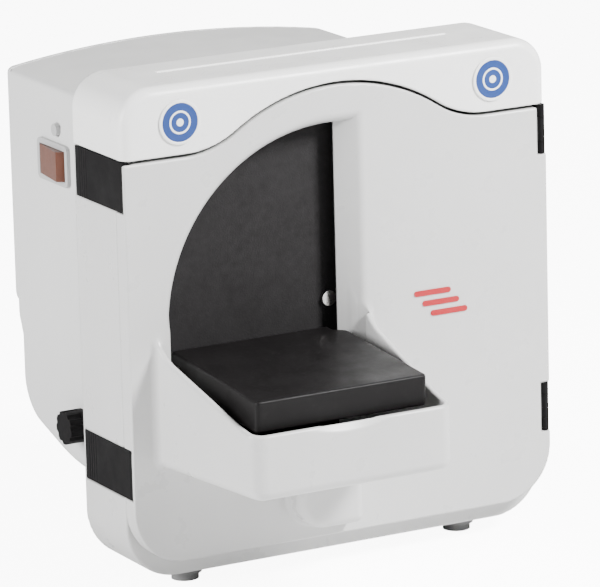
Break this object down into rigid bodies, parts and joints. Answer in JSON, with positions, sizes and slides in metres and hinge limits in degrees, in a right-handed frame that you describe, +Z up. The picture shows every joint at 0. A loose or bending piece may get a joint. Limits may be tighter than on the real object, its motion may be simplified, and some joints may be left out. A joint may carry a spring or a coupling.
{
  "type": "wet model trimmer",
  "caption": "Bench-top wet model trimmer: a motor-driven abrasive disc in a splash chamber behind a hinged door with a tilting table, a drip basin, side latches and a rear motor housing.",
  "frame": {"origin": "middle of the footprint at floor level", "axes": "+X to the operator's right, +Y to the back of the machine, +Z up"},
  "size_m": [0.305, 0.313, 0.329],
  "materials": {
    "white_shell": "satin moulded",
    "grey_shell": "satin moulded",
    "badge_blue": "gloss print",
    "mark_red": "gloss print",
    "black_plastic": "fine texture",
    "table_black": "satin moulded",
    "abrasive": "coarse grit",
    "plate_alu": "turned",
    "motor_alu": "cast",
    "steel": "ground",
    "iron": "laminated",
    "brass": "machined",
    "rubber_grey": "matte",
    "rubber_black": "matte",
    "amber": "tinted gloss",
    "hose_blue": "smooth",
    "drain_grey": "moulded",
    "board_green": "lacquered"
  },
  "bodies": {
    "root": {"front_frame": "white_shell", "top_visor": "white_shell", "badges": "badge_blue", "splash_chamber": "grey_shell", "door_seal": "rubber_black", "chassis_plate": "steel", "rear_housing": "grey_shell", "rear_panel": "grey_shell", "vent_grille": "black_plastic", "rear_leg_left": "grey_shell", "rear_leg_right": "grey_shell", "feet": "rubber_grey", "switch_bezel": "drain_grey", "valve_body": "brass", "solenoid_valve": "black_plastic", "water_inlet": "brass", "supply_hose": "hose_blue", "link_hose": "hose_blue", "spray_tube": "steel", "spray_nozzle": "brass", "drain_outlet": "drain_grey", "power_inlet": "black_plastic", "control_board": "board_green", "run_capacitor": "motor_alu", "reed_sensor": "black_plastic", "motor_flange": "motor_alu", "motor_casing": "motor_alu", "motor_end_bell": "motor_alu", "stator_core": "iron", "front_bearing": "steel", "rear_bearing": "steel", "shaft_seal": "rubber_black", "hinge_brackets": "black_plastic", "hinge_pins": "steel", "panel_screws": "steel", "motor_bolts": "steel"},
    "door": {"door_panel": "white_shell", "drip_basin": "white_shell", "drain_boss": "white_shell", "door_mark": "mark_red", "door_magnet": "iron", "door_knuckles": "black_plastic", "latch_pins": "steel"},
    "latch_high": {"upper_latch": "black_plastic"},
    "latch_low": {"lower_latch": "black_plastic"},
    "table": {"work_table": "table_black", "table_pins": "steel"},
    "rotor": {"motor_shaft": "steel", "rotor_core": "iron", "cooling_fan": "black_plastic", "backing_plate": "plate_alu", "abrasive_disc": "abrasive", "hub_screw": "steel"},
    "rocker": {"power_rocker": "amber"},
    "reset": {"reset_button": "drain_grey"},
    "knob": {"water_knob": "black_plastic"}
  },
  "joints": [
    {"name": "door_hinge", "type": "hinge", "parent": "root", "child": "door", "pos_m": [0.1495, -0.0475, 0.1735], "axis": [0, 0, 1], "range_deg": [0, 110]},
    {"name": "upper_latch_pivot", "type": "hinge", "parent": "door", "child": "latch_high", "pos_m": [-0.1492, -0.0449, 0.268], "axis": [0, 0, 1], "range_deg": [0, 85]},
    {"name": "lower_latch_pivot", "type": "hinge", "parent": "door", "child": "latch_low", "pos_m": [-0.1492, -0.0449, 0.083], "axis": [0, 0, 1], "range_deg": [0, 85]},
    {"name": "table_tilt", "type": "hinge", "parent": "door", "child": "table", "pos_m": [-0.054, -0.0445, 0.146], "axis": [1, 0, 0], "range_deg": [-4, 6]},
    {"name": "disc_spin", "type": "hinge", "parent": "root", "child": "rotor", "pos_m": [0, 0.0395, 0.1735], "axis": [0, 1, 0], "continuous": true},
    {"name": "switch_rock", "type": "hinge", "parent": "root", "child": "rocker", "pos_m": [-0.134, 0.075, 0.2605], "axis": [0, 0, 1], "range_deg": [0, 14]},
    {"name": "reset_press", "type": "slide", "parent": "root", "child": "reset", "axis": [1, 0, 0], "range_m": [0, 0.0015], "stiffness_N_per_m": 300},
    {"name": "water_turn", "type": "hinge", "parent": "root", "child": "knob", "pos_m": [-0.145, 0.0495, 0.092], "axis": [1, 0, 0], "range_deg": [0, 270]}
  ]
}
